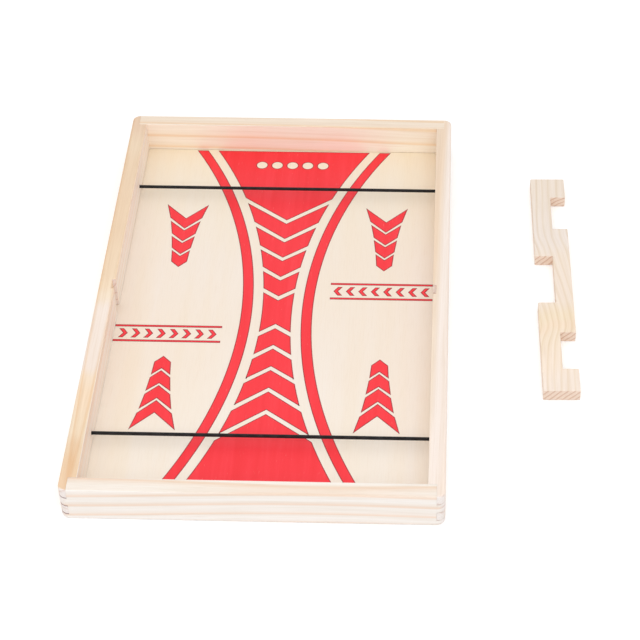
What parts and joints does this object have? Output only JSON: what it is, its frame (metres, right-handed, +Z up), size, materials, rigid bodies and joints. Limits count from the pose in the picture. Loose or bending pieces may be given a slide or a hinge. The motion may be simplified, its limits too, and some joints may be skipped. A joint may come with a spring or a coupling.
{
  "type": "tabletop hockey game",
  "caption": "Open wooden tray game with a printed board, an elastic across each end and a loose notched gate board.",
  "frame": {"origin": "centre of the tray's underside, on the playing board", "axes": "+Z up out of the open tray, +Y along the tray to its far end, +X to the right, towards the gate board"},
  "size_m": [0.3008, 0.35, 0.024],
  "materials": {
    "pine": "sanded pine, clear matt lacquer",
    "plywood": "thin plywood, printed red, satin",
    "gate_pine": "sanded pine, unfinished",
    "elastic": "round black elastic cord",
    "steel": "bright wire brads"
  },
  "bodies": {
    "tray": {"left_rail": "pine", "right_rail": "pine", "near_rail": "pine", "far_rail": "pine", "playing_board": "plywood", "near_elastic_left_knot": "elastic", "near_elastic_right_knot": "elastic", "far_elastic_left_knot": "elastic", "far_elastic_right_knot": "elastic", "brad_left_1": "steel", "brad_left_2": "steel", "brad_left_3": "steel", "brad_left_4": "steel", "brad_right_1": "steel", "brad_right_2": "steel", "brad_right_3": "steel", "brad_right_4": "steel", "brad_near_1": "steel", "brad_near_2": "steel", "brad_near_3": "steel", "brad_far_1": "steel", "brad_far_2": "steel", "brad_far_3": "steel"},
    "near_elastic": {"near_elastic": "elastic"},
    "far_elastic": {"far_elastic": "elastic"},
    "gate": {"gate_board": "gate_pine"}
  },
  "joints": [
    {"name": "near_elastic_pull", "type": "slide", "parent": "tray", "child": "near_elastic", "axis": [0, -1, 0], "range_m": [0, 0.03], "stiffness_N_per_m": 100, "deforming": ["near_elastic"]},
    {"name": "far_elastic_pull", "type": "slide", "parent": "tray", "child": "far_elastic", "axis": [0, 1, 0], "range_m": [0, 0.03], "stiffness_N_per_m": 100, "deforming": ["far_elastic"]},
    {"name": "gate_lift", "type": "slide", "parent": "tray", "child": "gate", "axis": [0, 0, 1], "range_m": [0, 0.06]}
  ]
}
